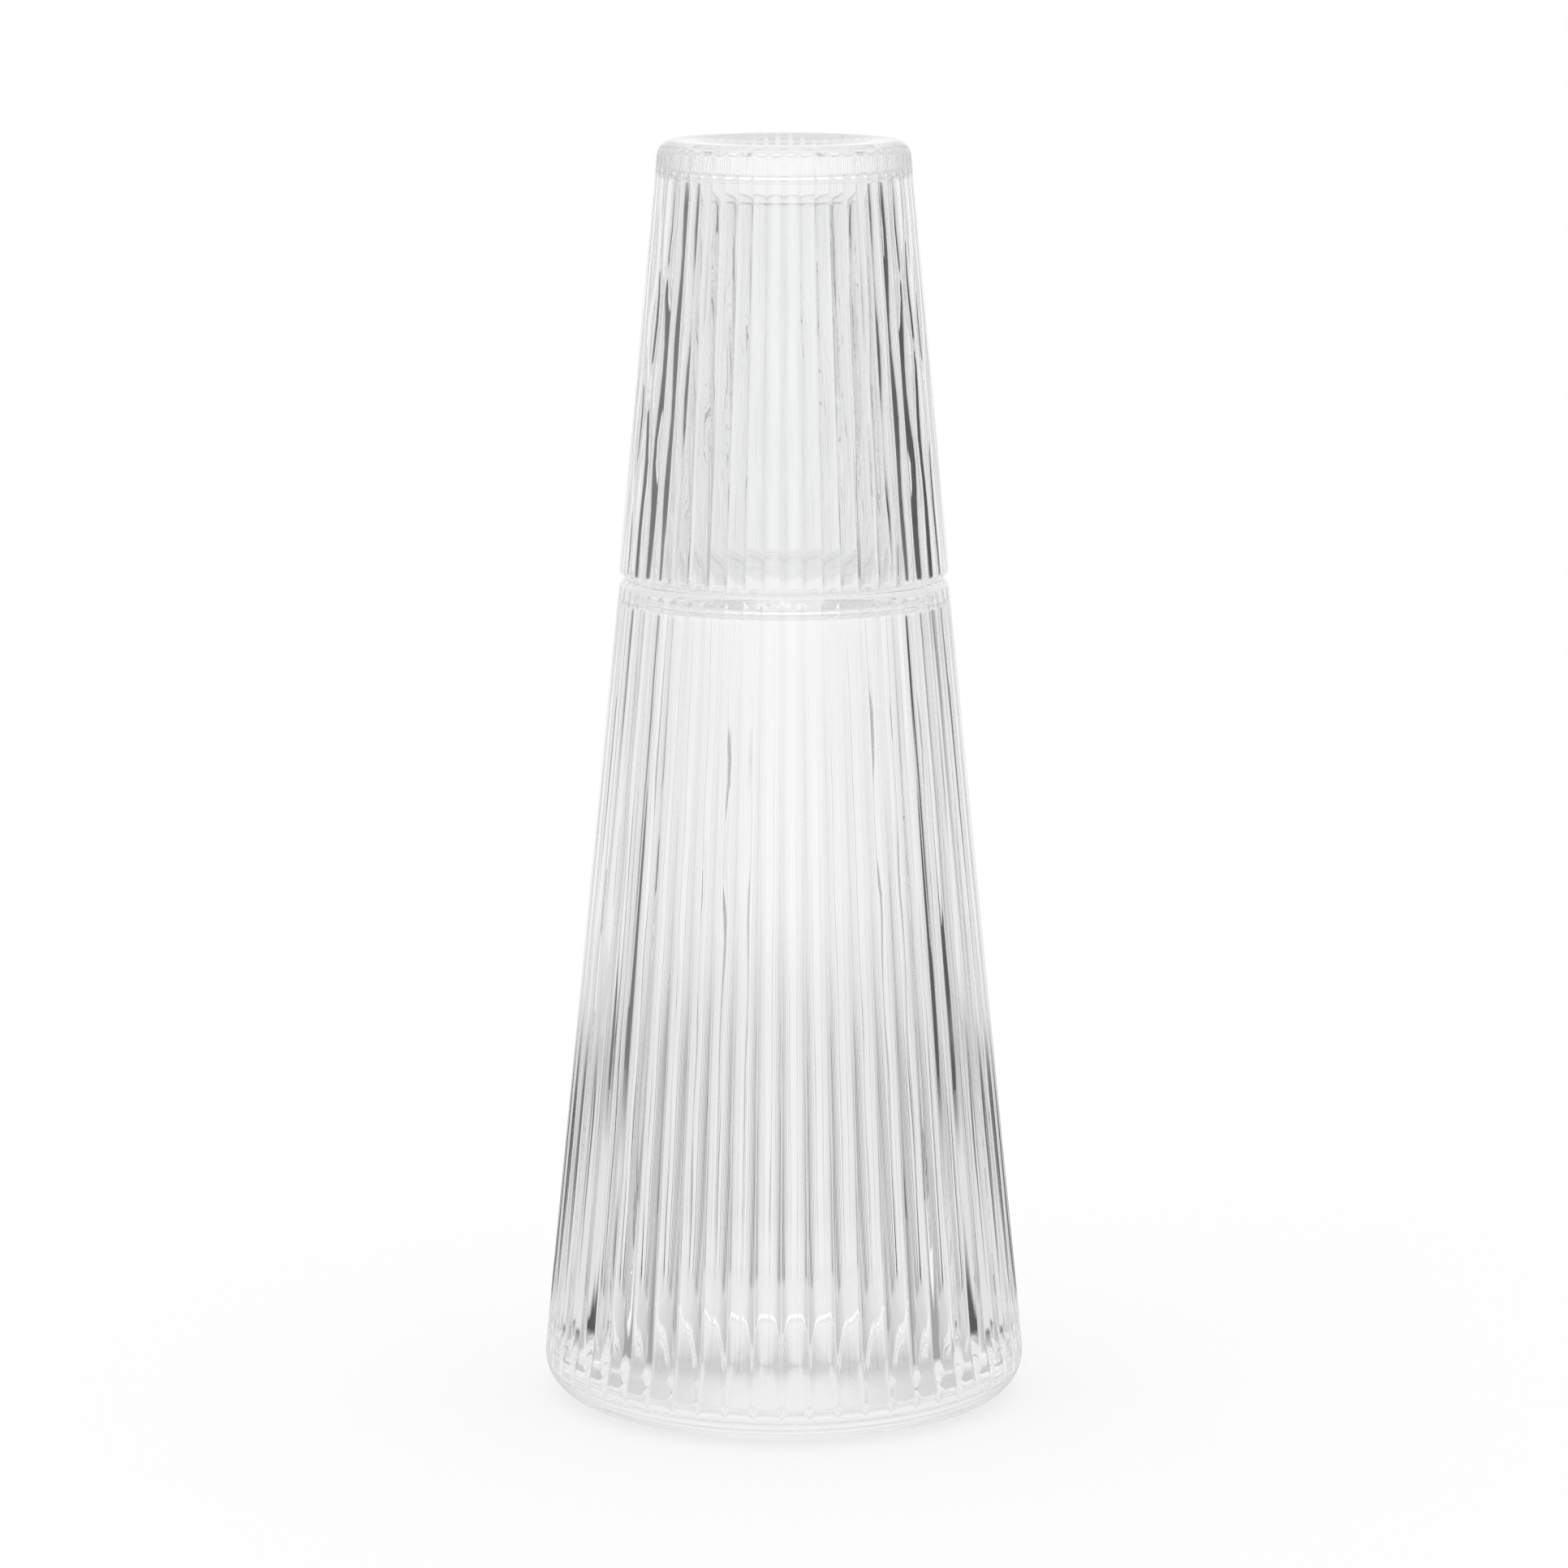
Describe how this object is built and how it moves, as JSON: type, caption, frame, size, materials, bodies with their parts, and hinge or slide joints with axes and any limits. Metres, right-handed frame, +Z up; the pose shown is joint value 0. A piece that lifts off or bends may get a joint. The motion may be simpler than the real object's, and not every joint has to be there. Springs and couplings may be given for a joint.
{
  "type": "bedside carafe with tumbler",
  "caption": "Clear ribbed glass bedside carafe, a tapered body with a narrower open neck, and a ribbed tumbler turned upside down over the neck that lifts off.",
  "frame": {"origin": "centre of the flat foot ring, in the plane that the carafe stands on", "axes": "+Z up along the common axis of the carafe and the tumbler; X and Y are any two directions square to it, and -Y faces the picture"},
  "size_m": [0.1076, 0.1074, 0.28],
  "materials": {
    "carafe_glass": "clear polished pressed glass",
    "tumbler_glass": "clear polished pressed glass"
  },
  "bodies": {
    "carafe": {"carafe": "carafe_glass"},
    "tumbler": {"tumbler": "tumbler_glass"}
  },
  "joints": [
    {"name": "tumbler_lift", "type": "slide", "parent": "carafe", "child": "tumbler", "axis": [0, 0, 1], "range_m": [0, 0.1]}
  ]
}
